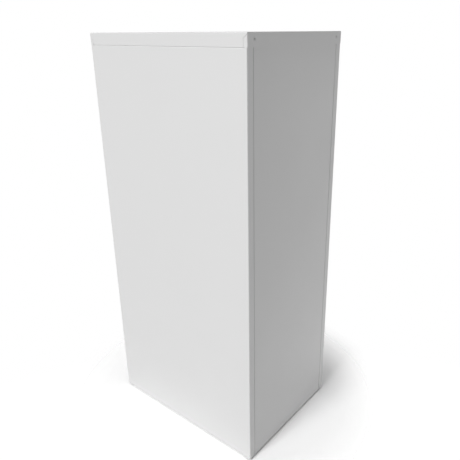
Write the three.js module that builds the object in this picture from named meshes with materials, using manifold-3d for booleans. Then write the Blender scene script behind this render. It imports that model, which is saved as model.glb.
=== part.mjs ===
// Display plinth: a free-standing box of folded, powder-coated sheet steel on four levelling feet.
//
// Frame: millimetres, +Z up. The origin is on the floor, below the centre of the footprint.
// X runs along the wide faces and Y along the narrow ones. The front is the wide face at -Y.
//
// Four folded panels make the walls. The wide panels wrap round the upright corners, and each
// narrow panel sits between their returns, held by rivets through back-to-back flanges. A folded
// cap drops over a frame of angle rails and is held by four countersunk screws. The feet screw
// into nuts welded to plates across the bottom corners.

import * as THREE from "three";
import { mergeVertices } from "three/addons/utils/BufferGeometryUtils.js";
import Module from "manifold-3d";

// ---------------------------------------------------------------- driving dimensions

const HEIGHT = 1000; // floor to display surface
const BODY_WIDTH = 470; // across the narrow faces of the body
const BODY_DEPTH = 345; // across the wide faces
const FLOOR_GAP = 4; // below the walls, with the feet screwed right in

const SHEET = 1.5; // wall and cap steel
const BEND = 2; // outer radius of every fold in it
const FIT = 0.3; // play between pieces that touch
const ARC_STEPS = 4; // facets along a quarter bend

const CAP_SKIRT = 26.5; // height of the cap's folded edge
const CAP_JOINT = 0.3; // hairline between it and the walls
const CAP_PROUD = 1; // the cap's narrow sides stand this far outside the body
const CAP_TAB = 9.5; // the narrow skirts wrap this far round onto the wide ones
const TAB_GROOVE = 0.6; // width of the witness line round each welded tab
const TAB_GROOVE_DEPTH = 0.6;

const CAP_TAB_SHOULDER = 10.9; // below the display surface, where a tab's edge slants off
const CAP_TAB_TIP = { drop: 4.2, inset: 0.6 }; // where the slanting edge meets the corner

const RETURN = 19; // how far a wide panel wraps onto the narrow face
const SEAM_GAP = 0.4; // between a return and its narrow panel
const SEAM_FLANGE = 19; // the riveted flanges, measured in from the narrow face
const EDGE_FLANGE = 24; // the walls' flanges at the top and the bottom
const EDGE_FLANGE_END = 5.5; // a folded edge stops this far short of the panel's end or corner
const CORNER_FLANGE = 14; // the top flange's width where it passes the seam flange
const SLIT = 0.3; // relief slit at the end of a fold
const RELIEF_TOP = 16.5; // top of the bend relief at the foot of each seam

const RIVET_HEIGHTS = { low: 120, middle: 490, high: 860 };
const RIVET_INSET = 11; // rivet axis, in from the narrow face
const RIVET_HOLE_RADIUS = 2.4;
const RIVET = {
  shankRadius: 2,
  headRadius: 4,
  crownRadius: 3,
  crownHeight: 0.9,
  stemRadius: 1,
  stemTop: 1.3,
  stemBottom: 0.5,
  bulbRadius: 3.1,
  bulbStart: 0.4, // beyond the sheets it grips, as are the next two
  bulbEnd: 2.6,
  tipEnd: 4,
  tipRadius: 2.2,
};

const RAIL_SHEET = 2;
const RAIL_BEND = 3;
const RAIL_WIDTH = 22;
const RAIL_TOP_CLEARANCE = 3.5; // from the top edge of a rail to the display surface

const BEARER_X = 80; // the two bearers' distance from the centre
const BEARER_CROWN = 40;
const BEARER_BRIM = 14;
const BEARER_END_CLEARANCE = 0.6; // to the rails' upright legs

const SCREW_INSET = 22; // from the cap's corner along the narrow face
const SCREW_DROP = 12; // below the display surface
const SCREW = {
  sunk: 0.1, // its head below the face of the cap
  headRadius: 3.9,
  rim: 0.3,
  socketRadius: 1.7,
  socketDepth: 1.6,
  shankRadius: 2,
  length: 11.5,
  point: 0.5,
};
const SCREW_HOLE_RADIUS = 2.9; // through a rail
const COUNTERSINK = { play: 0.35, rim: 0.3, throat: 2.6, depth: 2.5 };
const CAP_NUT = { acrossFlats: 7, thickness: 3.2, hole: 2.3 };

const FOOT_INSET = 30; // foot axis, in from both outer faces
const FOOT_PLATE = 3;
const FOOT_PLATE_NEAR = 6; // nearest and furthest edge of a foot plate from the outer faces
const FOOT_PLATE_FAR = 74;
const FOOT_PLATE_CHAMFER = 28;
const FOOT_PLATE_HOLE_RADIUS = 4.8;
const FOOT_NUT = { acrossFlats: 13, thickness: 6.5, hole: 4.4 };
const PAD = { radius: 15, topBevel: 1, footBevel: 0.8, collarRadius: 5.5 };
const STUD = { radius: 4, top: 44, point: 1, seat: 1.5 }; // its seat is inside the pad

const LAP = 2; // how far two solids that become one run into each other
const CLEAR = 1; // how far a cutter runs past what it cuts
const DRILL_REACH = 5; // the same for a drilled hole, from the middle of the sheet

// ---------------------------------------------------------------- derived positions

const halfWidth = BODY_WIDTH / 2;
const halfDepth = BODY_DEPTH / 2;
const capHalfWidth = halfWidth + CAP_PROUD;
const capBottom = HEIGHT - CAP_SKIRT;
const wallTop = capBottom - CAP_JOINT;
const wallBottom = FLOOR_GAP;
const seamY = halfDepth - RETURN; // distance of each seam from the centre
const narrowHalf = seamY - SEAM_GAP; // half the length of a narrow panel
const seamBottom = RELIEF_TOP;
const railBottom = wallTop + FIT;
const railTop = HEIGHT - RAIL_TOP_CLEARANCE;
const railX = capHalfWidth - SHEET - FIT; // outer faces of the rails' upright legs
const railY = halfDepth - SHEET - FIT;
const screwZ = HEIGHT - SCREW_DROP;
const screwY = halfDepth - SCREW_INSET;
const footX = halfWidth - FOOT_INSET;
const footY = halfDepth - FOOT_INSET;
const footPlateBottom = wallBottom + SHEET + FIT;
const footPlateTop = footPlateBottom + FOOT_PLATE;
const padTop = FLOOR_GAP - FIT;
const collarTop = footPlateBottom - 2 * FIT;

const CORNERS = [
  { name: "front_left", x: -1, y: -1 },
  { name: "front_right", x: 1, y: -1 },
  { name: "back_left", x: -1, y: 1 },
  { name: "back_right", x: 1, y: 1 },
];

// ---------------------------------------------------------------- materials

const paint = { color: 0xdedfdf, roughness: 0.42, metalness: 0 };
const whiteCoat = new THREE.MeshStandardMaterial(paint);
const screwCoat = new THREE.MeshStandardMaterial({ ...paint, roughness: 0.5 });
const zincSteel = new THREE.MeshStandardMaterial({ color: 0xa9adb0, roughness: 0.4, metalness: 0.9 });
const rivetMetal = new THREE.MeshStandardMaterial({ color: 0xb8babb, roughness: 0.35, metalness: 0.9 });
const blackPlastic = new THREE.MeshStandardMaterial({ color: 0x1c1c1d, roughness: 0.6, metalness: 0 });

// ---------------------------------------------------------------- solids

const manifold = await Module();
manifold.setup();

// A closed three.js geometry as a solid that can be joined and cut.
function solidOf(geometry) {
  const bare = new THREE.BufferGeometry();
  bare.setAttribute("position", geometry.getAttribute("position"));
  if (geometry.index) bare.setIndex(geometry.index);
  const merged = mergeVertices(bare, 1e-4);
  const mesh = new manifold.Mesh({
    numProp: 3,
    vertProperties: merged.getAttribute("position").array,
    triVerts: new Uint32Array(merged.index.array),
  });
  return new manifold.Manifold(mesh);
}

// The solid's surface as a three.js geometry.
function geometryOf(solid) {
  const mesh = solid.getMesh();
  const geometry = new THREE.BufferGeometry();
  geometry.setAttribute("position", new THREE.BufferAttribute(mesh.vertProperties, 3));
  geometry.setIndex(new THREE.BufferAttribute(mesh.triVerts, 1));
  geometry.computeVertexNormals();
  return geometry;
}

function joined(solids) {
  return solids.reduce((sum, solid) => sum.add(solid));
}

function cutBy(solid, tools) {
  return tools.reduce((rest, tool) => rest.subtract(tool), solid);
}

function block(x0, x1, y0, y1, z0, z1) {
  const geometry = new THREE.BoxGeometry(x1 - x0, y1 - y0, z1 - z0);
  geometry.translate((x0 + x1) / 2, (y0 + y1) / 2, (z0 + z1) / 2);
  return solidOf(geometry);
}

// Prisms. Each takes an outline in the plane across its axis: (x, y), (y, z) or (z, x).
function prismZ(outline, z0, z1) {
  const shape = new THREE.Shape(outline);
  const geometry = new THREE.ExtrudeGeometry(shape, { depth: z1 - z0, bevelEnabled: false });
  return geometry.translate(0, 0, z0);
}

function prismX(outline, x0, x1) {
  const turn = new THREE.Matrix4().set(0, 0, 1, 0, 1, 0, 0, 0, 0, 1, 0, 0, 0, 0, 0, 1);
  return prismZ(outline, x0, x1).applyMatrix4(turn);
}

function prismY(outline, y0, y1) {
  const turn = new THREE.Matrix4().set(0, 1, 0, 0, 0, 0, 1, 0, 1, 0, 0, 0, 0, 0, 0, 1);
  return prismZ(outline, y0, y1).applyMatrix4(turn);
}

// A round solid about +Z from [radius, height] pairs that start and end on the axis.
function turned(profile, segments = 20) {
  const points = profile.map(([radius, height]) => new THREE.Vector2(radius, height));
  return new THREE.LatheGeometry(points, segments).rotateX(Math.PI / 2);
}

function cylinderAlongY(radius, y0, y1) {
  const geometry = new THREE.CylinderGeometry(radius, radius, y1 - y0, 12);
  return geometry.translate(0, (y0 + y1) / 2, 0);
}

// ---------------------------------------------------------------- folded sheet

// The outline of a folded strip. The path follows its outer surface with square turns, and
// side is +1 where the sheet lies to the left of the path, -1 where it lies to the right.
function foldedStrip(path, side, sheet = SHEET, bend = BEND) {
  const corners = path.map(([a, b]) => new THREE.Vector2(a, b));
  const directions = corners.slice(1).map((end, i) => end.clone().sub(corners[i]).normalize());
  const inward = (direction) => new THREE.Vector2(-direction.y, direction.x).multiplyScalar(side * sheet);
  const last = directions.length - 1;
  const outer = [corners[0]];
  const inner = [corners[0].clone().add(inward(directions[0]))];
  for (let i = 0; i < last; i++) {
    const [before, after] = [directions[i], directions[i + 1]];
    const turnsInward = before.cross(after) * side > 0;
    const outerRadius = turnsInward ? bend : bend - sheet;
    const innerRadius = turnsInward ? bend - sheet : bend;
    const centre = corners[i + 1].clone().addScaledVector(before, -outerRadius);
    centre.addScaledVector(after, outerRadius);
    for (let step = 0; step <= ARC_STEPS; step++) {
      const angle = (step / ARC_STEPS) * (Math.PI / 2);
      const spoke = after.clone().multiplyScalar(-Math.cos(angle));
      spoke.addScaledVector(before, Math.sin(angle));
      outer.push(centre.clone().addScaledVector(spoke, outerRadius));
      inner.push(centre.clone().addScaledVector(spoke, innerRadius));
    }
  }
  outer.push(corners[last + 1]);
  inner.push(corners[last + 1].clone().add(inward(directions[last])));
  return [...outer, ...inner.reverse()];
}

// The holes for the rivets of one seam, at x on the seam nearest y.
function rivetHoles(x, y) {
  return Object.values(RIVET_HEIGHTS).map((z) =>
    solidOf(cylinderAlongY(RIVET_HOLE_RADIUS, y - DRILL_REACH, y + DRILL_REACH).translate(x, 0, z)),
  );
}

// ---------------------------------------------------------------- walls

// The front wall: a full-width face with folded top and bottom edges, and at each side a
// return round the corner that ends in a flange for the rivets. The top edge is folded nearly
// to the corners, and narrows there to pass the flanges.
function widePanel() {
  const faceEnd = halfWidth - RETURN;
  const foldEnd = halfWidth - EDGE_FLANGE_END;
  const edges = foldedStrip(
    [
      [-halfDepth + EDGE_FLANGE, wallBottom],
      [-halfDepth, wallBottom],
      [-halfDepth, wallTop],
      [-halfDepth + EDGE_FLANGE, wallTop],
    ],
    -1,
  );
  const face = solidOf(prismX(edges, -faceEnd + SLIT, faceEnd - SLIT));
  const core = block(
    -faceEnd - LAP, faceEnd + LAP, -halfDepth, -halfDepth + SHEET, wallBottom + BEND, wallTop - BEND,
  );
  const wrap = foldedStrip(
    [
      [halfWidth - SEAM_FLANGE, -seamY],
      [halfWidth, -seamY],
      [halfWidth, -halfDepth],
      [faceEnd, -halfDepth],
    ],
    -1,
  );
  const relief = block(
    halfWidth - SEAM_FLANGE - CLEAR, halfWidth + CLEAR, -seamY - BEND, -seamY + CLEAR,
    wallBottom - CLEAR, seamBottom,
  );
  const foldRoom = block(
    faceEnd - CLEAR, foldEnd, -halfDepth - CLEAR, -halfDepth + BEND, wallTop - BEND, wallTop + CLEAR,
  );
  const wall = cutBy(solidOf(prismZ(wrap, wallBottom, wallTop)), [
    relief,
    foldRoom,
    ...rivetHoles(halfWidth - RIVET_INSET, -seamY),
  ]);
  const topFold = foldedStrip(
    [
      [-halfDepth, wallTop - BEND - LAP],
      [-halfDepth, wallTop],
      [-halfDepth + CORNER_FLANGE, wallTop],
    ],
    -1,
  );
  const corner = wall.add(solidOf(prismX(topFold, faceEnd - SLIT - LAP, foldEnd - SLIT)));
  return geometryOf(joined([face, core, corner, corner.mirror([1, 0, 0])]));
}

// The right-hand wall: an inset face with a flange on every edge.
function narrowPanel() {
  const faceEnd = seamY - EDGE_FLANGE_END;
  const flatEnd = narrowHalf - BEND;
  const edges = foldedStrip(
    [
      [wallBottom, halfWidth - EDGE_FLANGE],
      [wallBottom, halfWidth],
      [wallTop, halfWidth],
      [wallTop, halfWidth - EDGE_FLANGE],
    ],
    -1,
  );
  const face = solidOf(prismY(edges, -faceEnd + SLIT, faceEnd - SLIT));
  const channel = foldedStrip(
    [
      [halfWidth - SEAM_FLANGE, -narrowHalf],
      [halfWidth, -narrowHalf],
      [halfWidth, narrowHalf],
      [halfWidth - SEAM_FLANGE, narrowHalf],
    ],
    1,
  );
  const seams = cutBy(solidOf(prismZ(channel, seamBottom, wallTop)), [
    ...rivetHoles(halfWidth - RIVET_INSET, -seamY),
    ...rivetHoles(halfWidth - RIVET_INSET, seamY),
  ]);
  const inner = halfWidth - SHEET;
  const core = block(inner, halfWidth, -flatEnd, flatEnd, wallBottom + BEND, wallTop - BEND);
  const tabs = [-1, 1].map((end) => {
    const [y0, y1] = [end * (faceEnd - LAP), end * narrowHalf].sort((a, b) => a - b);
    return block(inner, halfWidth, y0, y1, wallBottom, seamBottom - SLIT);
  });
  return geometryOf(joined([face, core, seams, ...tabs]));
}

// ---------------------------------------------------------------- cap

// A rounded rectangle between two corners, in any plane.
function roundedRectangle(a0, a1, b0, b1, radius) {
  const outline = [];
  for (let quarter = 0; quarter < 4; quarter++) {
    const centreA = quarter === 0 || quarter === 3 ? a1 - radius : a0 + radius;
    const centreB = quarter < 2 ? b1 - radius : b0 + radius;
    for (let step = 0; step <= ARC_STEPS; step++) {
      const angle = (quarter + step / ARC_STEPS) * (Math.PI / 2);
      const a = centreA + radius * Math.cos(angle);
      const b = centreB + radius * Math.sin(angle);
      outline.push(new THREE.Vector2(a, b));
    }
  }
  return outline;
}

// A block with rounded upright edges and a rounded top edge: the same outline is run along
// each axis, and what the three prisms share is kept.
function foldedBlock(halfX, halfY, bottom, top, radius) {
  const low = bottom - 2 * radius;
  const plan = prismZ(roundedRectangle(-halfX, halfX, -halfY, halfY, radius), bottom, top);
  const side = prismX(roundedRectangle(-halfY, halfY, low, top, radius), -halfX, halfX);
  const front = prismY(roundedRectangle(low, top, -halfX, halfX, radius), -halfY, halfY);
  return solidOf(plan).intersect(solidOf(side)).intersect(solidOf(front));
}

// The witness line round one wrapped and welded tab of the cap: a shallow groove up from the
// lower edge, then slanting to the corner.
function tabGroove(corner) {
  const seamX = capHalfWidth - CAP_TAB;
  const line = [
    [capBottom - CLEAR, seamX],
    [HEIGHT - CAP_TAB_SHOULDER, seamX],
    [HEIGHT - CAP_TAB_TIP.drop, capHalfWidth - CAP_TAB_TIP.inset],
  ];
  const half = TAB_GROOVE / 2;
  const far = line.map(([z, x]) => [z + half, x - half]).reverse();
  const near = line.map(([z, x]) => [z - half / 2, x + half]);
  const outline = [...near, ...far].map(([z, x]) => new THREE.Vector2(z, x * corner.x));
  const ends = [halfDepth + CLEAR, halfDepth - TAB_GROOVE_DEPTH].map((y) => y * corner.y);
  return solidOf(prismY(outline, Math.min(...ends), Math.max(...ends)));
}

// The countersunk hole for one cap screw.
function countersink(corner) {
  const { play, rim, throat, depth } = COUNTERSINK;
  const mouth = SCREW.headRadius + play;
  const tool = turned([
    [0, -CLEAR],
    [mouth, -CLEAR],
    [mouth, rim],
    [throat, rim + mouth - throat],
    [throat, depth],
    [0, depth],
  ]);
  tool.rotateY((-corner.x * Math.PI) / 2);
  return solidOf(tool.translate(corner.x * capHalfWidth, corner.y * screwY, screwZ));
}

function cap() {
  const outside = foldedBlock(capHalfWidth, halfDepth, capBottom, HEIGHT, BEND);
  const inside = foldedBlock(
    capHalfWidth - SHEET, halfDepth - SHEET, capBottom - CLEAR, HEIGHT - SHEET, BEND - SHEET,
  );
  const openings = CORNERS.flatMap((corner) => [tabGroove(corner), countersink(corner)]);
  return geometryOf(cutBy(outside, [inside, ...openings]));
}

// ---------------------------------------------------------------- frame below the cap

// The front angle rail.
function longRail() {
  const section = foldedStrip(
    [
      [-railY + RAIL_WIDTH, railBottom],
      [-railY, railBottom],
      [-railY, railTop],
    ],
    -1,
    RAIL_SHEET,
    RAIL_BEND,
  );
  const end = railX - RAIL_WIDTH - SEAM_GAP;
  return prismX(section, -end, end);
}

// The right-hand angle rail, with a hole for each of its two cap screws.
function shortRail() {
  const section = foldedStrip(
    [
      [railBottom, railX - RAIL_WIDTH],
      [railBottom, railX],
      [railTop, railX],
    ],
    -1,
    RAIL_SHEET,
    RAIL_BEND,
  );
  const end = railY - RAIL_SHEET - SEAM_GAP;
  const holes = [-1, 1].map((side) => {
    const drill = cylinderAlongY(SCREW_HOLE_RADIUS, -DRILL_REACH, DRILL_REACH);
    return solidOf(drill.rotateZ(Math.PI / 2).translate(railX, side * screwY, screwZ));
  });
  return geometryOf(cutBy(solidOf(prismY(section, -end, end)), holes));
}

// A hat-section bearer that carries the cap from the front rail to the back one.
function bearer() {
  const brim = railBottom + RAIL_SHEET + FIT + SHEET;
  const crown = HEIGHT - SHEET - FIT;
  const half = BEARER_CROWN / 2;
  const section = foldedStrip(
    [
      [brim, -half - BEARER_BRIM],
      [brim, -half],
      [crown, -half],
      [crown, half],
      [brim, half],
      [brim, half + BEARER_BRIM],
    ],
    1,
  );
  const end = railY - RAIL_SHEET - BEARER_END_CLEARANCE;
  return prismY(section, -end, end);
}

// ---------------------------------------------------------------- fasteners

function nut({ acrossFlats, thickness, hole }) {
  const reach = acrossFlats / Math.sqrt(3);
  const outline = [0, 1, 2, 3, 4, 5].map((i) => {
    const angle = (i * Math.PI) / 3;
    return new THREE.Vector2(reach * Math.cos(angle), reach * Math.sin(angle));
  });
  const shape = new THREE.Shape(outline);
  shape.holes.push(new THREE.Path().absarc(0, 0, hole, 0, 2 * Math.PI, true));
  return new THREE.ExtrudeGeometry(shape, { depth: thickness, bevelEnabled: false, curveSegments: 16 });
}

// A countersunk screw along +Z, its flat head at the origin, with a round socket.
function capScrew() {
  const { headRadius, rim, socketRadius, socketDepth, shankRadius, length, point } = SCREW;
  return turned([
    [0, socketDepth],
    [socketRadius, socketDepth],
    [socketRadius, 0],
    [headRadius, 0],
    [headRadius, rim],
    [shankRadius, rim + headRadius - shankRadius],
    [shankRadius, length - point],
    [shankRadius - point, length],
    [0, length],
  ]);
}

// A set blind rivet along +Z. The origin is on the face its domed head sits against.
function rivet() {
  const grip = 2 * SHEET + SEAM_GAP + 2 * FIT;
  return turned([
    [0, -RIVET.stemBottom],
    [RIVET.stemRadius, -RIVET.stemBottom],
    [RIVET.stemRadius, -RIVET.stemTop],
    [RIVET.crownRadius, -RIVET.crownHeight],
    [RIVET.headRadius, 0],
    [RIVET.shankRadius, 0],
    [RIVET.shankRadius, grip],
    [RIVET.bulbRadius, grip + RIVET.bulbStart],
    [RIVET.bulbRadius, grip + RIVET.bulbEnd],
    [RIVET.tipRadius, grip + RIVET.tipEnd],
    [0, grip + RIVET.tipEnd],
  ], 12);
}

// ---------------------------------------------------------------- feet

// The plate welded across one bottom corner.
function footPlate(corner) {
  const inset = (fromSide, fromFront) =>
    new THREE.Vector2(corner.x * (halfWidth - fromSide), corner.y * (halfDepth - fromFront));
  const chamfer = FOOT_PLATE_FAR - FOOT_PLATE_CHAMFER;
  const shape = new THREE.Shape([
    inset(FOOT_PLATE_NEAR, FOOT_PLATE_NEAR),
    inset(FOOT_PLATE_FAR, FOOT_PLATE_NEAR),
    inset(FOOT_PLATE_FAR, chamfer),
    inset(chamfer, FOOT_PLATE_FAR),
    inset(FOOT_PLATE_NEAR, FOOT_PLATE_FAR),
  ]);
  const centre = inset(FOOT_INSET, FOOT_INSET);
  shape.holes.push(new THREE.Path().absarc(centre.x, centre.y, FOOT_PLATE_HOLE_RADIUS, 0, 2 * Math.PI));
  const geometry = new THREE.ExtrudeGeometry(shape, {
    depth: FOOT_PLATE,
    bevelEnabled: false,
    curveSegments: 20,
  });
  return geometry.translate(0, 0, footPlateBottom);
}

// The moulded pad about its own axis, with a socket for the stud.
function footPad() {
  const socket = STUD.radius + FIT;
  return turned([
    [0, 0],
    [PAD.radius - PAD.topBevel, 0],
    [PAD.radius, PAD.footBevel],
    [PAD.radius, padTop - PAD.topBevel],
    [PAD.radius - PAD.topBevel, padTop],
    [PAD.collarRadius, padTop],
    [PAD.collarRadius, collarTop],
    [socket, collarTop],
    [socket, STUD.seat - FIT],
    [0, STUD.seat - FIT],
  ], 24);
}

function footStud() {
  return turned([
    [0, STUD.seat],
    [STUD.radius, STUD.seat],
    [STUD.radius, STUD.top - STUD.point],
    [STUD.radius - STUD.point, STUD.top],
    [0, STUD.top],
  ]);
}

// ---------------------------------------------------------------- assembly

const plinth = new THREE.Group();

function place(name, geometry, material, parent = plinth) {
  const mesh = new THREE.Mesh(geometry, material);
  mesh.name = name;
  parent.add(mesh);
  return mesh;
}

// The back and the left repeat the front and the right, half a turn round.
const turnedHalf = new THREE.Group();
turnedHalf.rotation.z = Math.PI;
plinth.add(turnedHalf);

place("front_panel", widePanel(), whiteCoat);
place("back_panel", widePanel(), whiteCoat, turnedHalf);
place("right_side_panel", narrowPanel(), whiteCoat);
place("left_side_panel", narrowPanel(), whiteCoat, turnedHalf);
place("top_cap", cap(), whiteCoat);
place("top_rail_front", longRail(), zincSteel);
place("top_rail_back", longRail(), zincSteel, turnedHalf);
place("top_rail_right", shortRail(), zincSteel);
place("top_rail_left", shortRail(), zincSteel, turnedHalf);
place("cap_bearer_left", bearer(), zincSteel).position.x = -BEARER_X;
place("cap_bearer_right", bearer(), zincSteel).position.x = BEARER_X;

for (const corner of CORNERS) {
  const screw = place("cap_screw_" + corner.name, capScrew(), screwCoat);
  screw.position.set(corner.x * (capHalfWidth - SCREW.sunk), corner.y * screwY, screwZ);
  screw.rotation.y = (-corner.x * Math.PI) / 2;

  const capNut = place("cap_nut_" + corner.name, nut(CAP_NUT), zincSteel);
  capNut.position.set(corner.x * (railX - RAIL_SHEET - FIT), corner.y * screwY, screwZ);
  capNut.rotation.y = (-corner.x * Math.PI) / 2;

  for (const [level, z] of Object.entries(RIVET_HEIGHTS)) {
    const pin = place("seam_rivet_" + corner.name + "_" + level, rivet(), rivetMetal);
    const x = corner.x * (halfWidth - RIVET_INSET);
    pin.position.set(x, corner.y * (seamY + SHEET + FIT), z);
    pin.rotation.x = (corner.y * Math.PI) / 2;
  }

  place("foot_plate_" + corner.name, footPlate(corner), zincSteel);
  const footNut = place("foot_nut_" + corner.name, nut(FOOT_NUT), zincSteel);
  footNut.position.set(corner.x * footX, corner.y * footY, footPlateTop + FIT);

  const foot = new THREE.Group();
  foot.position.set(corner.x * footX, corner.y * footY, 0);
  plinth.add(foot);
  place("foot_pad_" + corner.name, footPad(), blackPlastic, foot);
  place("foot_stud_" + corner.name, footStud(), zincSteel, foot);
}

export default plinth;
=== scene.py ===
"""The looks of the display plinth: folded, powder-coated sheet steel on levelling feet.

The CAD frame gives every place and size. The sheet parts are the CAD solids with their edges
softened and their folds shaded round. The small turned and moulded parts (screws, nuts, rivets,
studs and pads) are modelled again in full detail on the CAD parts' own axes.
"""

import math

import bmesh
import bpy
from mathutils import Matrix, Vector


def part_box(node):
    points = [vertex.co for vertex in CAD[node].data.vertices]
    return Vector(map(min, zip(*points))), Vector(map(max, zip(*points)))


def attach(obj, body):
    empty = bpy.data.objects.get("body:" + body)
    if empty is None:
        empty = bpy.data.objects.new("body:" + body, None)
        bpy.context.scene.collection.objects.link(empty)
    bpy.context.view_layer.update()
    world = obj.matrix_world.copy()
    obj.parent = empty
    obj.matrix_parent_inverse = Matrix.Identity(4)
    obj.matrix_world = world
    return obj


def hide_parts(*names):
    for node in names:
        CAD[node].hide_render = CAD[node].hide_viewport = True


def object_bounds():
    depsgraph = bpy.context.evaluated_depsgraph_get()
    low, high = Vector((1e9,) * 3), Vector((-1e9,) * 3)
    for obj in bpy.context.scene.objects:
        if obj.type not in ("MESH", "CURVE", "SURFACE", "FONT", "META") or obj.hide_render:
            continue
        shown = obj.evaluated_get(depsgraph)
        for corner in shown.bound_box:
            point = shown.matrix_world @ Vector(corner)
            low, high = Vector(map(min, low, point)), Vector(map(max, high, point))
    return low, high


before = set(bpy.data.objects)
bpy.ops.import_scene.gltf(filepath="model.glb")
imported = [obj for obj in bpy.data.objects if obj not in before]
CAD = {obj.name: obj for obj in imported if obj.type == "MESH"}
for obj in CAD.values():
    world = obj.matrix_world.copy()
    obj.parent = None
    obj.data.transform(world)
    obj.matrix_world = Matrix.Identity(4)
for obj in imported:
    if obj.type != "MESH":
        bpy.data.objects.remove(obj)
cad_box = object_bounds()

MM = 0.001
TURN = 2 * math.pi
CARCASS = "carcass"
CORNERS = {
    "front_left": (-1, -1),
    "front_right": (1, -1),
    "back_left": (-1, 1),
    "back_right": (1, 1),
}
RIVET_LEVELS = ("low", "middle", "high")
TOP = cad_box[1][2]

# ---------------------------------------------------------------- camera

CAMERA_AT = Vector((0.8245, -0.9063, 1.0006))
CAMERA_AZIMUTH = math.radians(38.59)  # from the wide face's normal towards the narrow face
CAMERA_PITCH = math.radians(20.416)  # downwards
CAMERA_ROLL = math.radians(-0.398)
LENS_MM = 38.77
SENSOR_MM = 36
SHIFT = (-0.0429, -0.0310)  # as shares of the sensor's width


def make_camera():
    """The camera stands at the height of the plinth's top and looks down past the near corner."""
    data = bpy.data.cameras.new("camera")
    data.lens = LENS_MM
    data.sensor_width = SENSOR_MM
    data.shift_x, data.shift_y = SHIFT
    camera = bpy.data.objects.new("camera", data)
    bpy.context.scene.collection.objects.link(camera)
    turn = Matrix.Rotation(CAMERA_AZIMUTH, 4, "Z")
    tilt = Matrix.Rotation(math.pi / 2 - CAMERA_PITCH, 4, "X")
    roll = Matrix.Rotation(CAMERA_ROLL, 4, "Z")
    camera.matrix_world = Matrix.Translation(CAMERA_AT) @ turn @ tilt @ roll
    bpy.context.scene.camera = camera


# ---------------------------------------------------------------- node helpers


class Graph:
    """Short calls that add and join the nodes of one node tree."""

    def __init__(self, tree):
        self.tree = tree

    def add(self, kind, inputs=None, **settings):
        node = self.tree.nodes.new(kind)
        for key, value in settings.items():
            setattr(node, key, value)
        for key, value in (inputs or {}).items():
            self.feed(node.inputs[key], value)
        return node

    def feed(self, socket, value):
        """Links a socket to another node's output, or gives it a plain value."""
        if isinstance(value, bpy.types.NodeSocket):
            self.tree.links.new(value, socket)
        else:
            socket.default_value = value

    def place(self):
        """Where a point lies on the object, in metres."""
        return self.add("ShaderNodeTexCoord").outputs["Object"]

    def axes(self):
        """The same place, as its X, Y and Z."""
        return self.add("ShaderNodeSeparateXYZ", {0: self.place()}).outputs

    def noise(self, scale, detail=2.0, roughness=0.5, vector=None, distortion=0.0):
        inputs = {
            "Vector": vector or self.place(),
            "Scale": scale,
            "Detail": detail,
            "Roughness": roughness,
            "Distortion": distortion,
        }
        return self.add("ShaderNodeTexNoise", inputs).outputs["Fac"]

    def stretched(self, scale):
        """The place, stretched by a factor along each axis."""
        return self.add("ShaderNodeMapping", {"Vector": self.place(), "Scale": scale}).outputs[0]

    def fit(self, value, low, high, to_low=0.0, to_high=1.0):
        inputs = {"Value": value, 1: low, 2: high, 3: to_low, 4: to_high}
        return self.add("ShaderNodeMapRange", inputs).outputs["Result"]

    def maths(self, operation, a, b):
        return self.add("ShaderNodeMath", {0: a, 1: b}, operation=operation).outputs[0]

    def dot(self, a, b):
        node = self.add("ShaderNodeVectorMath", {0: a, 1: b}, operation="DOT_PRODUCT")
        return node.outputs["Value"]

    def blend(self, factor, a, b):
        node = self.add("ShaderNodeMix", {0: factor, 6: a, 7: b}, data_type="RGBA")
        return node.outputs[2]

    def bump(self, height, depth, strength=1.0, under=None):
        inputs = {"Height": height, "Distance": depth, "Strength": strength}
        if under is not None:
            inputs["Normal"] = under
        return self.add("ShaderNodeBump", inputs).outputs["Normal"]

    def edge(self, radius):
        """0 on flat stretches, rising to 1 on edges sharper than the radius."""
        rounded = self.add("ShaderNodeBevel", {"Radius": radius}, samples=4).outputs[0]
        flat = self.add("ShaderNodeNewGeometry").outputs["Normal"]
        return self.fit(self.dot(rounded, flat), low=0.98, high=0.80)

    def crevice_shade(self, reach):
        """A mask for painted shade: 0 in the open, rising to 1 where other surfaces stand close."""
        open_air = self.add("ShaderNodeAmbientOcclusion", {"Distance": reach}, samples=6)
        return self.fit(open_air.outputs["AO"], low=0.75, high=0.25)

    def share(self, part, pattern):
        """A pattern at a part of its full strength."""
        return self.maths("MULTIPLY", pattern, part)


class Material(Graph):
    """A new material's node tree."""

    def __init__(self, name):
        self.material = bpy.data.materials.new(name)
        self.material.use_nodes = True
        super().__init__(self.material.node_tree)
        self.shader = self.tree.nodes["Principled BSDF"]

    def set(self, **values):
        """Sets or links the shader's own sockets."""
        for key, value in values.items():
            self.feed(self.shader.inputs[key.replace("_", " ")], value)


def grey(value):
    return (value, value, value, 1.0)


# ---------------------------------------------------------------- materials

COAT_TONE = 0.62


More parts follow.
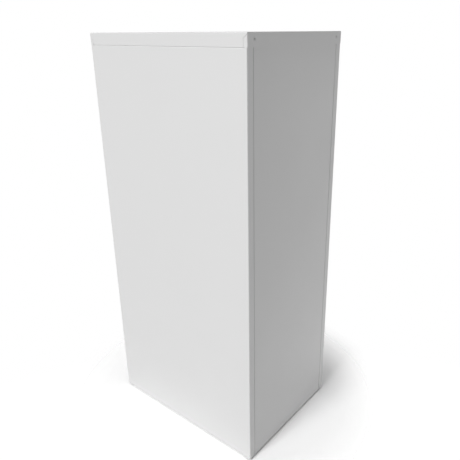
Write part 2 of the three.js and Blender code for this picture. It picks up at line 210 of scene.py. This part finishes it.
def powder_coat(name, tone):
    """White satin powder coat: a fine orange peel over slightly wavy sheet, with patchy, dust-tinted
    painted shade in the joints.
    """
    m = Material(name)
    cloud = m.noise(scale=3.0, detail=3.0, roughness=0.55)
    coat = m.blend(cloud, grey(tone * 0.985), grey(tone * 1.012))
    speck = m.fit(m.noise(scale=900.0, detail=1.0), low=0.70, high=0.78)
    coat = m.blend(m.share(0.06, speck), coat, grey(tone * 0.7))
    # Painted shade, partly dust: where other surfaces stand close, the coat darkens in patches to a
    # dusty tint.
    patchy = m.fit(m.noise(scale=45.0, detail=4.0, roughness=0.6), 0.3, 0.7, to_low=0.0, to_high=0.15)
    joint_dust_and_shade = m.maths("MULTIPLY", m.crevice_shade(1.2 * MM), patchy)
    coat = m.blend(joint_dust_and_shade, coat, (tone * 0.62, tone * 0.60, tone * 0.56, 1))
    # Painted highlight: edges sharper than 0.6 mm are painted up to a quarter of the way to a lighter
    # tone.
    coat = m.blend(m.share(0.25, m.edge(0.6 * MM)), coat, grey(min(tone * 1.12, 1)))
    handling = m.noise(scale=9.0, detail=5.0, roughness=0.65, distortion=0.6)
    satin = m.fit(m.fit(handling, low=0.42, high=0.72), 0, 1, to_low=0.36, to_high=0.46)
    grain = m.fit(m.noise(scale=420.0), 0, 1, to_low=-0.03, to_high=0.03)
    wave = m.bump(m.noise(scale=2.3, detail=1.0, roughness=0.4), depth=1.6 * MM)
    peel = m.noise(scale=330.0, detail=1.5, roughness=0.45)
    m.set(Base_Color=coat, Roughness=m.maths("ADD", satin, grain), IOR=1.5)
    m.set(Normal=m.bump(peel, depth=0.02 * MM, strength=0.55, under=wave))
    return m.material


def galvanised(name):
    """Dull galvanised sheet with a fine, faint spangle and a few dull clouds."""
    m = Material(name)
    jitter = m.add("ShaderNodeTexNoise", {"Vector": m.place(), "Scale": 220.0}).outputs["Color"]
    most = (4 * MM, 4 * MM, 4 * MM)
    moved = m.add("ShaderNodeVectorMath", {0: jitter, 1: most}, operation="MULTIPLY")
    bent = m.add("ShaderNodeVectorMath", {0: m.place(), 1: moved.outputs[0]}, operation="ADD")
    crystals = m.add("ShaderNodeTexVoronoi", {"Vector": bent.outputs[0], "Scale": 320.0})
    spangle = m.add("ShaderNodeSeparateColor", {"Color": crystals.outputs["Color"]}).outputs[0]
    stain = m.fit(m.noise(scale=11.0, detail=4.0, roughness=0.6), low=0.35, high=0.75)
    colour = m.blend(spangle, (0.54, 0.56, 0.58, 1), (0.60, 0.62, 0.64, 1))
    colour = m.blend(m.share(0.25, stain), colour, (0.42, 0.42, 0.41, 1))
    crystal_sheen = m.fit(spangle, 0, 1, to_low=0.34, to_high=0.44)
    dulling = m.fit(stain, 0, 1, to_low=0.0, to_high=0.14)
    m.set(Base_Color=colour, Metallic=0.92, Roughness=m.maths("ADD", crystal_sheen, dulling))
    m.set(Normal=m.bump(m.noise(scale=500.0), depth=0.02 * MM, strength=0.5))
    return m.material


def plated(name, tone, rough):
    """Turned or pressed metal with fine tool marks round it, and painted shade in its crevices."""
    m = Material(name)
    marks = m.noise(scale=60.0, detail=3.0, roughness=0.6, vector=m.stretched((1.0, 1.0, 14.0)))
    stain = m.noise(scale=80.0, detail=3.0)
    colour = m.blend(stain, grey(tone * 0.88), grey(tone * 1.08))
    # Painted shade: the metal darkens towards a third of its tone where other surfaces stand close.
    colour = m.blend(m.share(0.5, m.crevice_shade(2 * MM)), colour, grey(tone * 0.3))
    m.set(Base_Color=colour, Metallic=1.0)
    m.set(Roughness=m.fit(marks, 0.2, 0.8, to_low=rough - 0.06, to_high=rough + 0.10))
    m.set(Normal=m.bump(marks, depth=0.03 * MM, strength=0.6))
    return m.material


def moulded_plastic(name):
    """Black polyamide with a sparked mould finish, scuffed where it rubs the floor."""
    m = Material(name)
    near_floor = m.fit(m.axes()["Z"], low=1.6 * MM, high=0.0)
    scuffs = m.fit(m.noise(scale=160.0, detail=4.0, roughness=0.7), low=0.45, high=0.65)
    rubbed = m.maths("MULTIPLY", near_floor, scuffs)
    spark = m.noise(scale=1600.0)
    m.set(Base_Color=m.blend(rubbed, grey(0.018), grey(0.075)))
    m.set(Roughness=m.fit(spark, 0, 1, to_low=0.48, to_high=0.66))
    m.set(Normal=m.bump(spark, depth=0.06 * MM, strength=0.7))
    return m.material


COAT = powder_coat("powder_coat_white", COAT_TONE)
SCREW_COAT = powder_coat("painted_screw_white", COAT_TONE * 0.94)
ZINC_SHEET = galvanised("galvanised_sheet")
ZINC = plated("zinc_plate", 0.62, 0.30)
RIVET_METAL = plated("rivet_aluminium", 0.70, 0.34)
PLASTIC = moulded_plastic("foot_plastic")

# ---------------------------------------------------------------- mesh helpers

SHARP_FROM = math.radians(32)  # edges that turn less than this are shaded round
NORMAL_WEIGHT = 80
WELD_WITHIN = 0.002 * MM
FLAT_WITHIN = math.radians(0.4)  # faces that turn less than this are made one
SOFTENED_FROM = math.radians(50)  # edges that turn more than this are rounded
SOFTENED_STEPS = 2
FILLET_STEPS = 3
THREAD_ROWS = 6  # rings of vertices to one turn of a thread


def new_piece(name, shape, material, body, replaced):
    """Links a bmesh as a piece that rides on a body and stands for one CAD node."""
    mesh = bpy.data.meshes.new(name)
    bmesh.ops.recalc_face_normals(shape, faces=shape.faces)
    for face in shape.faces:
        face.smooth = True
    shape.to_mesh(mesh)
    shape.free()
    mesh.set_sharp_from_angle(angle=SHARP_FROM)
    mesh.materials.append(material)
    piece = bpy.data.objects.new(name, mesh)
    bpy.context.scene.collection.objects.link(piece)
    weighted = piece.modifiers.new("face_weighted_normals", "WEIGHTED_NORMAL")
    weighted.keep_sharp = True
    weighted.weight = NORMAL_WEIGHT
    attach(piece, body)
    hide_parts(replaced)
    return piece


def softened_copy(node, edge_radius):
    """The CAD solid with its flat stretches made whole and its sharp edges rounded a little."""
    shape = bmesh.new()
    shape.from_mesh(CAD[node].data)
    bmesh.ops.remove_doubles(shape, verts=shape.verts, dist=WELD_WITHIN)
    bmesh.ops.dissolve_limit(shape, angle_limit=FLAT_WITHIN, verts=shape.verts, edges=shape.edges)
    sharp = [
        edge for edge in shape.edges
        if len(edge.link_faces) == 2 and edge.calc_face_angle(0) > SOFTENED_FROM
    ]
    bmesh.ops.bevel(
        shape,
        geom=sharp,
        offset=edge_radius,
        segments=SOFTENED_STEPS,
        profile=0.5,
        affect="EDGES",
        clamp_overlap=True,
    )
    return shape


def constant(value):
    """A function of the angle that is the same all round."""
    return lambda angle: value


def ring(shape, steps, radius_at, height_at):
    """A closed ring of vertices round +Z; the radius and the height are functions of the angle."""
    angles = [TURN * i / steps for i in range(steps)]
    return [
        shape.verts.new((radius_at(a) * math.cos(a), radius_at(a) * math.sin(a), height_at(a)))
        for a in angles
    ]


def skin(shape, rings, closed=False):
    """Faces between each ring and the next. A ring of one vertex closes the shape to a point."""
    pairs = list(zip(rings, rings[1:]))
    if closed:
        pairs.append((rings[-1], rings[0]))
    for below, above in pairs:
        count = max(len(below), len(above))
        for i in range(count):
            j = (i + 1) % count
            low_pair = [below[i % len(below)], below[j % len(below)]]
            high_pair = [above[j % len(above)], above[i % len(above)]]
            shape.faces.new(list(dict.fromkeys(low_pair + high_pair)))


def spun(profile, steps):
    """A turned body about +Z from (radius, height) pairs; pairs on the axis close it."""
    shape = bmesh.new()
    rings = []
    for radius, height in profile:
        if radius == 0:
            rings.append([shape.verts.new((0, 0, height))])
        else:
            rings.append(ring(shape, steps, constant(radius), constant(height)))
    skin(shape, rings)
    return shape


def rounded_turn(points):
    """The profile with each (radius, height, fillet) corner rounded; a plain pair stays sharp."""
    flat = [Vector(p[:2]) for p in points]
    out = []
    for i, point in enumerate(points):
        fillet = point[2] if len(point) > 2 else 0
        if not fillet:
            out.append(tuple(flat[i]))
            continue
        back = (flat[i - 1] - flat[i]).normalized() * fillet
        ahead = (flat[i + 1] - flat[i]).normalized() * fillet
        for step in range(FILLET_STEPS + 1):
            t = step / FILLET_STEPS
            bent = flat[i] + back * (1 - t) ** 2 + ahead * t ** 2
            out.append(tuple(bent))
    return out


def hexagon(across_flats):
    """The distance from the axis to a hexagon's outline, as a function of the angle."""
    flat = across_flats / 2
    return lambda a: flat / math.cos((a + math.pi / 6) % (math.pi / 3) - math.pi / 6)


def thread_rows(shape, steps, radius, depth, pitch, start, end):
    """Rings of a helical thread that runs out smoothly at both ends."""
    rows = max(2, round((end - start) / pitch * THREAD_ROWS))
    rings = []
    for row in range(rows + 1):
        z = start + (end - start) * row / rows
        run_out = min(1.0, (z - start) / pitch, (end - z) / pitch)

        def radius_at(a, z=z, run_out=run_out):
            wave = 0.5 - 0.5 * math.cos(TURN * z / pitch - a)
            return radius - depth * run_out * wave

        rings.append(ring(shape, steps, radius_at, constant(z)))
    return rings


def stood(shape, at, axis=(0, 0, 1)):
    """The shape with its +Z turned to the axis and its origin at the point."""
    turn = Vector((0, 0, 1)).rotation_difference(Vector(axis)).to_matrix().to_4x4()
    bmesh.ops.transform(shape, matrix=Matrix.Translation(at) @ turn, verts=shape.verts)
    return shape


def middle(node):
    low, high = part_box(node)
    return (low + high) / 2


# ---------------------------------------------------------------- sheet parts

WALLS = ("front_panel", "back_panel", "right_side_panel", "left_side_panel")
RAILS = tuple(f"top_rail_{side}" for side in ("front", "back", "left", "right"))
BEARERS = ("cap_bearer_left", "cap_bearer_right")
FOOT_PLATES = tuple(f"foot_plate_{corner}" for corner in CORNERS)
SHEET_EDGE = 0.25 * MM  # how far the sheets' cut edges are rounded
CAP_EDGE = 0.10 * MM  # and those of the cap
CAP_RIM = 2 * CAP_EDGE  # the rim's rounded edge lies within this of its lowest point
CAP_DRAW = 0.25 * MM  # how far the rim is drawn down
CAP_LEAN = 0.4 * MM  # how far the rim of the long skirts leans in


def drawn_down(cap):
    """The cap as its screws hold it: its rim drawn down onto the walls, its long skirts leaning in."""
    lowest = min(vertex.co.z for vertex in cap.verts)
    for vertex in cap.verts:
        if vertex.co.z < lowest + CAP_RIM:
            vertex.co.z -= CAP_DRAW
            vertex.co.y -= math.copysign(CAP_LEAN, vertex.co.y)
    return cap


def make_sheets():
    """The painted walls and cap, and the bare galvanised frame inside."""
    coated = {node: softened_copy(node, SHEET_EDGE) for node in WALLS}
    coated["top_cap"] = drawn_down(softened_copy("top_cap", CAP_EDGE))
    for node, shape in coated.items():
        new_piece(node + "_coated", shape, COAT, CARCASS, node)
    for node in RAILS + BEARERS + FOOT_PLATES:
        shape = softened_copy(node, SHEET_EDGE)
        new_piece(node + "_zinc", shape, ZINC_SHEET, CARCASS, node)


# ---------------------------------------------------------------- screws, nuts and rivets

NUT_STEPS = 48
NUT_CHAMFER_FROM = 0.97  # the chamfer's inner edge, as a share of half the width across flats
NUT_CHAMFER_SLOPE = math.tan(math.radians(30))
NUT_MOUTH = 1.12  # the countersunk mouth, as a share of the bore
CAP_NUT_BORE = 2.3 * MM  # the bores are given by their radius
FOOT_NUT_BORE = 4.4 * MM

SCREW_STEPS = 48
SCREW_RIM = 0.3 * MM
SCREW_SHANK = 2 * MM  # radius
SCREW_LIP = 0.25 * MM
SCREW_TIP = 0.5 * MM
SCREW_THREAD = {"depth": 0.35 * MM, "pitch": 0.7 * MM}
SOCKET_FLATS = 2.5 * MM
SOCKET_DEPTH = 1.5 * MM
SOCKET_DRILL_POINT = 0.5 * MM
SOCKET_TAPER = 0.98  # the socket's width at its floor, as a share of its width at the mouth


def hex_nut(across_flats, thickness, bore):
    """A nut about +Z from 0 to its thickness, its corners chamfered at both ends."""
    outline = hexagon(across_flats)
    chamfer_start = across_flats / 2 * NUT_CHAMFER_FROM
    mouth = bore * NUT_MOUTH
    lead = mouth - bore

    def chamfer_drop(angle):
        return (outline(angle) - chamfer_start) * NUT_CHAMFER_SLOPE

    shape = bmesh.new()
    rings = [
        ring(shape, NUT_STEPS, constant(bore), constant(lead)),
        ring(shape, NUT_STEPS, constant(mouth), constant(0)),
        ring(shape, NUT_STEPS, constant(chamfer_start), constant(0)),
        ring(shape, NUT_STEPS, outline, chamfer_drop),
        ring(shape, NUT_STEPS, outline, lambda angle: thickness - chamfer_drop(angle)),
        ring(shape, NUT_STEPS, constant(chamfer_start), constant(thickness)),
        ring(shape, NUT_STEPS, constant(mouth), constant(thickness)),
        ring(shape, NUT_STEPS, constant(bore), constant(thickness - lead)),
    ]
    skin(shape, rings, closed=True)
    return shape


def make_nut(node, bore, axis):
    """A nut in its CAD node's place, its hole along the axis."""
    low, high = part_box(node)
    size = high - low
    along = [abs(part) for part in axis].index(1)
    thickness = size[along]
    flats = min(size[i] for i in range(3) if i != along)
    start = middle(node) - Vector(axis) * thickness / 2
    shape = stood(hex_nut(flats, thickness, bore), start, axis)
    new_piece(node + "_detailed", shape, ZINC, CARCASS, node)


def make_nuts():
    """Four nuts behind the cap's screws and four on the foot plates."""
    for corner, (x, _) in CORNERS.items():
        make_nut("cap_nut_" + corner, CAP_NUT_BORE, (-x, 0, 0))
        make_nut("foot_nut_" + corner, FOOT_NUT_BORE, (0, 0, 1))


def socket_screw(head, length):
    """A countersunk screw from its head's face at 0 up to its length, with a hex socket."""
    shape = bmesh.new()
    socket = hexagon(SOCKET_FLATS)
    neck = SCREW_RIM + head - SCREW_SHANK
    rings = [
        [shape.verts.new((0, 0, SOCKET_DEPTH + SOCKET_DRILL_POINT))],
        ring(shape, SCREW_STEPS, lambda angle: socket(angle) * SOCKET_TAPER, constant(SOCKET_DEPTH)),
        ring(shape, SCREW_STEPS, socket, constant(SOCKET_DEPTH - SCREW_LIP)),
        ring(shape, SCREW_STEPS, socket, constant(SCREW_LIP)),
        ring(shape, SCREW_STEPS, lambda angle: socket(angle) + SCREW_LIP, constant(0)),
        ring(shape, SCREW_STEPS, constant(head - SCREW_LIP), constant(0)),
        ring(shape, SCREW_STEPS, constant(head), constant(SCREW_LIP)),
        ring(shape, SCREW_STEPS, constant(head), constant(SCREW_RIM)),
        ring(shape, SCREW_STEPS, constant(SCREW_SHANK), constant(neck)),
    ]
    thread_end = length - SCREW_TIP
    rings += thread_rows(
        shape, SCREW_STEPS, SCREW_SHANK, **SCREW_THREAD, start=neck + SCREW_TIP, end=thread_end,
    )
    rings.append(ring(shape, SCREW_STEPS, constant(SCREW_SHANK - SCREW_TIP), constant(length)))
    rings.append([shape.verts.new((0, 0, length))])
    skin(shape, rings)
    return shape


def make_screws():
    """Four screws through the cap's narrow skirts, their heads sunk just below its face."""
    for corner, (x, _) in CORNERS.items():
        node = "cap_screw_" + corner
        low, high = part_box(node)
        size = high - low
        face = Vector((high.x if x > 0 else low.x, middle(node).y, middle(node).z))
        shape = stood(socket_screw(size.z / 2, size.x), face, (-x, 0, 0))
        new_piece(node + "_detailed", shape, SCREW_COAT, CARCASS, node)


RIVET_STEPS = 28
RIVET_DRAWN_LENGTH = 9.3 * MM  # the length that the profile below is drawn for


def blind_rivet(length):
    """A set blind rivet up +Z: a domed head with the snapped stem in it, and a folded tail."""
    # Radius, height and fillet of each corner, in millimetres.
    profile = [
        (0, 0.55),
        (0.75, 0.5, 0.1),
        (1.0, 0.8, 0.1),
        (1.25, 0.1, 0.15),
        (2.2, 0.12, 0.6),
        (3.7, 0.85, 0.5),
        (4.0, 1.3, 0.15),
        (2.0, 1.35, 0.1),
        (2.0, 5.2, 0.4),
        (3.1, 6.0, 0.5),
        (3.1, 7.7, 0.7),
        (2.1, 8.9, 0.4),
        (1.1, 8.9, 0.1),
        (1.0, 8.4, 0.1),
        (0, 8.3),
    ]
    scale = length / RIVET_DRAWN_LENGTH
    points = [[value * MM * scale for value in point] for point in profile]
    return spun(rounded_turn(points), RIVET_STEPS)


def make_rivets():
    """Three rivets in each of the four seams, their heads towards the wide faces."""
    for corner, (_, y) in CORNERS.items():
        for level in RIVET_LEVELS:
            node = f"seam_rivet_{corner}_{level}"
            low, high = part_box(node)
            head = Vector((middle(node).x, high.y if y > 0 else low.y, middle(node).z))
            shape = stood(blind_rivet(high.y - low.y), head, (0, -y, 0))
            new_piece(node + "_detailed", shape, RIVET_METAL, CARCASS, node)


# ---------------------------------------------------------------- feet

STUD_STEPS = 28
STUD_CHAMFER = 0.8 * MM
STUD_THREAD = {"depth": 0.65 * MM, "pitch": 1.25 * MM}
STUD_PLAY = 0.3 * MM  # between the stud and the pad's hole, round it and under it

PAD_STEPS = 64
PAD_RIM_TOP = 3.7 * MM
PAD_COLLAR = 5.5 * MM  # radius
PAD_GROOVE = 0.6 * MM
PAD_TREAD_FILLET = 0.2 * MM


def threaded_stud(radius, length):
    """A stud about +Z from 0 to its length, with a rolled thread and chamfered ends."""
    tip = radius - STUD_CHAMFER
    shape = bmesh.new()
    rings = [
        [shape.verts.new((0, 0, 0))],
        ring(shape, STUD_STEPS, constant(tip), constant(0)),
        ring(shape, STUD_STEPS, constant(radius), constant(STUD_CHAMFER)),
    ]
    thread_end = length - STUD_CHAMFER
    rings += thread_rows(
        shape, STUD_STEPS, radius, **STUD_THREAD, start=2 * STUD_CHAMFER, end=thread_end,
    )
    rings.append(ring(shape, STUD_STEPS, constant(tip), constant(length)))
    rings.append([shape.verts.new((0, 0, length))])
    skin(shape, rings)
    return shape


def moulded_pad(radius, collar_top, bore, floor):
    """A pad about +Z: a shallow tread with two grooves below, and a collar for the stud."""
    tread = [
        (0, PAD_GROOVE),
        (4.0 * MM, PAD_GROOVE, PAD_TREAD_FILLET),
        (4.4 * MM, 0, PAD_TREAD_FILLET),
        (8.2 * MM, 0, PAD_TREAD_FILLET),
        (8.6 * MM, PAD_GROOVE, PAD_TREAD_FILLET),
        (9.8 * MM, PAD_GROOVE, PAD_TREAD_FILLET),
        (10.2 * MM, 0, PAD_TREAD_FILLET),
    ]
    outside = [
        (radius - 1.0 * MM, 0, 0.4 * MM),
        (radius, 0.9 * MM, 0.4 * MM),
        (radius, PAD_RIM_TOP - 1.0 * MM, 0.5 * MM),
        (radius - 1.1 * MM, PAD_RIM_TOP, 0.5 * MM),
        (PAD_COLLAR + 1.6 * MM, PAD_RIM_TOP - 0.25 * MM, 0.6 * MM),
        (PAD_COLLAR + 0.1 * MM, PAD_RIM_TOP + 0.2 * MM, 0.2 * MM),
        (PAD_COLLAR, collar_top - 0.3 * MM, 0.15 * MM),
        (PAD_COLLAR - 0.3 * MM, collar_top, 0.1 * MM),
    ]
    inside = [
        (bore, collar_top, 0.15 * MM),
        (bore, floor, 0.15 * MM),
        (0, floor),
    ]
    return spun(rounded_turn(tread + outside + inside), PAD_STEPS)


def make_foot(corner):
    """One levelling foot: a threaded stud standing in its moulded pad."""
    body = "foot_" + corner
    stud = "foot_stud_" + corner
    low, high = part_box(stud)
    radius = (high.x - low.x) / 2
    shape = threaded_stud(radius, high.z - low.z)
    at = Vector((middle(stud).x, middle(stud).y, low.z))
    new_piece(stud + "_detailed", stood(shape, at), ZINC, body, stud)
    pad = "foot_pad_" + corner
    pad_low, pad_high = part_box(pad)
    shape = moulded_pad(
        radius=(pad_high.x - pad_low.x) / 2,
        collar_top=pad_high.z,
        bore=radius + STUD_PLAY,
        floor=low.z - STUD_PLAY,
    )
    at = Vector((middle(pad).x, middle(pad).y, pad_low.z))
    new_piece(pad + "_detailed", stood(shape, at), PLASTIC, body, pad)


def make_feet():
    """A levelling foot under each corner."""
    for corner in CORNERS:
        make_foot(corner)


# ---------------------------------------------------------------- stage and light

FLOOR_TONE = 0.95
FLOOR_LEVEL = -0.2 * MM  # just clear of the pads' undersides
FLOOR_SOLID = 0.29  # the floor is whole out to here, about as far as the plinth's corners
FLOOR_FADED = 0.50  # and has faded into the white backdrop by here
FLOOR_STEPS = 96
FLOOR_GLOW = 0.55  # what the floor sends back from far off
FLOOR_POOL = 0.50  # how much more it sends back from close by
HORIZON = (0.02, -0.06)  # heights of a look between which the room gives way to the floor
CLOSE_BY = (-0.3, -0.6)  # and between which the far floor gives way to the near floor
ROOM_TONE = 0.03

KEY_DISTANCE = 12.0
KEY_SIZE = 4.0
KEY_ELEVATION = math.radians(38)
KEY_AZIMUTH = math.radians(3)  # to the left of the wide face's normal
KEY_RADIANCE = 28.8

FILL_SIZE = 0.3
FILL_RADIANCE = 1.9
FILL_AWAY = Vector((0.50, 0.10, 0.08))  # from the foot of the far right corner

# Soft bright patches of the room: direction, tightness and brightness.
ROOM_PATCHES = (
    ((0.16, 0.05, 0.98), 14.0, 2.60),
    ((-0.62, -0.25, 0.73), 30.0, 4.00),
    ((0.30, 0.95, -0.15), 20.0, 1.20),
    ((0.00, -1.00, 0.30), 4.0, 0.20),
)


def soft_disc(name, size, radiance, at, aim):
    """A round soft light at one point, turned towards another."""
    data = bpy.data.lights.new(name, "AREA")
    data.shape = "DISK"
    data.size = size
    data.energy = radiance * math.pi * (math.pi * size ** 2 / 4)
    light = bpy.data.objects.new(name, data)
    bpy.context.scene.collection.objects.link(light)
    light.location = at
    light.rotation_euler = (at - aim).to_track_quat("Z", "Y").to_euler()
    return light


def make_lights():
    """A large soft light high before the wide face, and a faint low one beside the narrow face."""
    flat = math.cos(KEY_ELEVATION)
    side = -math.sin(KEY_AZIMUTH) * flat
    ahead = -math.cos(KEY_AZIMUTH) * flat
    towards = Vector((side, ahead, math.sin(KEY_ELEVATION)))
    centre = Vector((0, 0, TOP / 2))
    soft_disc("key", KEY_SIZE, KEY_RADIANCE, centre + towards * KEY_DISTANCE, centre)
    far_corner = Vector((cad_box[1][0], cad_box[1][1], 0))
    fill = soft_disc("fill", FILL_SIZE, FILL_RADIANCE, far_corner + FILL_AWAY, far_corner)
    fill.visible_camera = False
    fill.visible_glossy = False


def floor_paint(name):
    """Matt white floor that fades into the white backdrop away from the object."""
    m = Material(name)
    cloud = m.noise(scale=1.2, detail=3.0)
    m.set(Base_Color=m.blend(cloud, grey(FLOOR_TONE * 0.99), grey(FLOOR_TONE)))
    m.set(Roughness=0.85, Specular_IOR_Level=0.1)
    m.set(Normal=m.bump(m.noise(scale=90.0, detail=3.0), depth=0.2 * MM, strength=0.1))
    distance = m.add("ShaderNodeVectorMath", {0: m.place()}, operation="LENGTH").outputs["Value"]
    fading = {"Value": distance, 1: FLOOR_SOLID, 2: FLOOR_FADED, 3: 1.0, 4: 0.0}
    fade = m.add("ShaderNodeMapRange", fading, interpolation_type="SMOOTHSTEP")
    m.set(Alpha=fade.outputs["Result"])
    return m.material


def make_stage():
    """A round pale floor under the object."""
    shape = bmesh.new()
    rim = ring(shape, FLOOR_STEPS, constant(FLOOR_FADED), constant(FLOOR_LEVEL))
    shape.faces.new(rim)
    mesh = bpy.data.meshes.new("floor")
    shape.to_mesh(mesh)
    shape.free()
    mesh.materials.append(floor_paint("floor_paint"))
    floor = bpy.data.objects.new("floor", mesh)
    bpy.context.scene.collection.objects.link(floor)


def make_room():
    """A dim room over a bright floor, and a plain white backdrop behind the object."""
    world = bpy.data.worlds.new("studio")
    world.use_nodes = True
    g = Graph(world.node_tree)
    look = g.add("ShaderNodeTexCoord").outputs["Generated"]
    height = g.add("ShaderNodeSeparateXYZ", {0: look}).outputs["Z"]
    far_floor = g.fit(height, *HORIZON, ROOM_TONE, FLOOR_GLOW)
    near_floor = g.fit(height, *CLOSE_BY, 0, FLOOR_POOL)
    light = g.maths("ADD", far_floor, near_floor)
    for direction, tightness, brightness in ROOM_PATCHES:
        facing = g.maths("MAXIMUM", g.dot(look, Vector(direction).normalized()), 0.0)
        patch = g.maths("MULTIPLY", g.maths("POWER", facing, tightness), brightness)
        light = g.maths("ADD", light, patch)
    backdrop = g.add("ShaderNodeLightPath").outputs["Is Camera Ray"]
    background = g.tree.nodes["Background"]
    g.feed(background.inputs["Color"], grey(1.0))
    g.feed(background.inputs["Strength"], g.maths("MAXIMUM", light, backdrop))
    bpy.context.scene.world = world
    bpy.context.scene.view_settings.view_transform = "Standard"


make_camera()
make_sheets()
make_nuts()
make_screws()
make_rivets()
make_feet()
make_stage()
make_lights()
make_room()
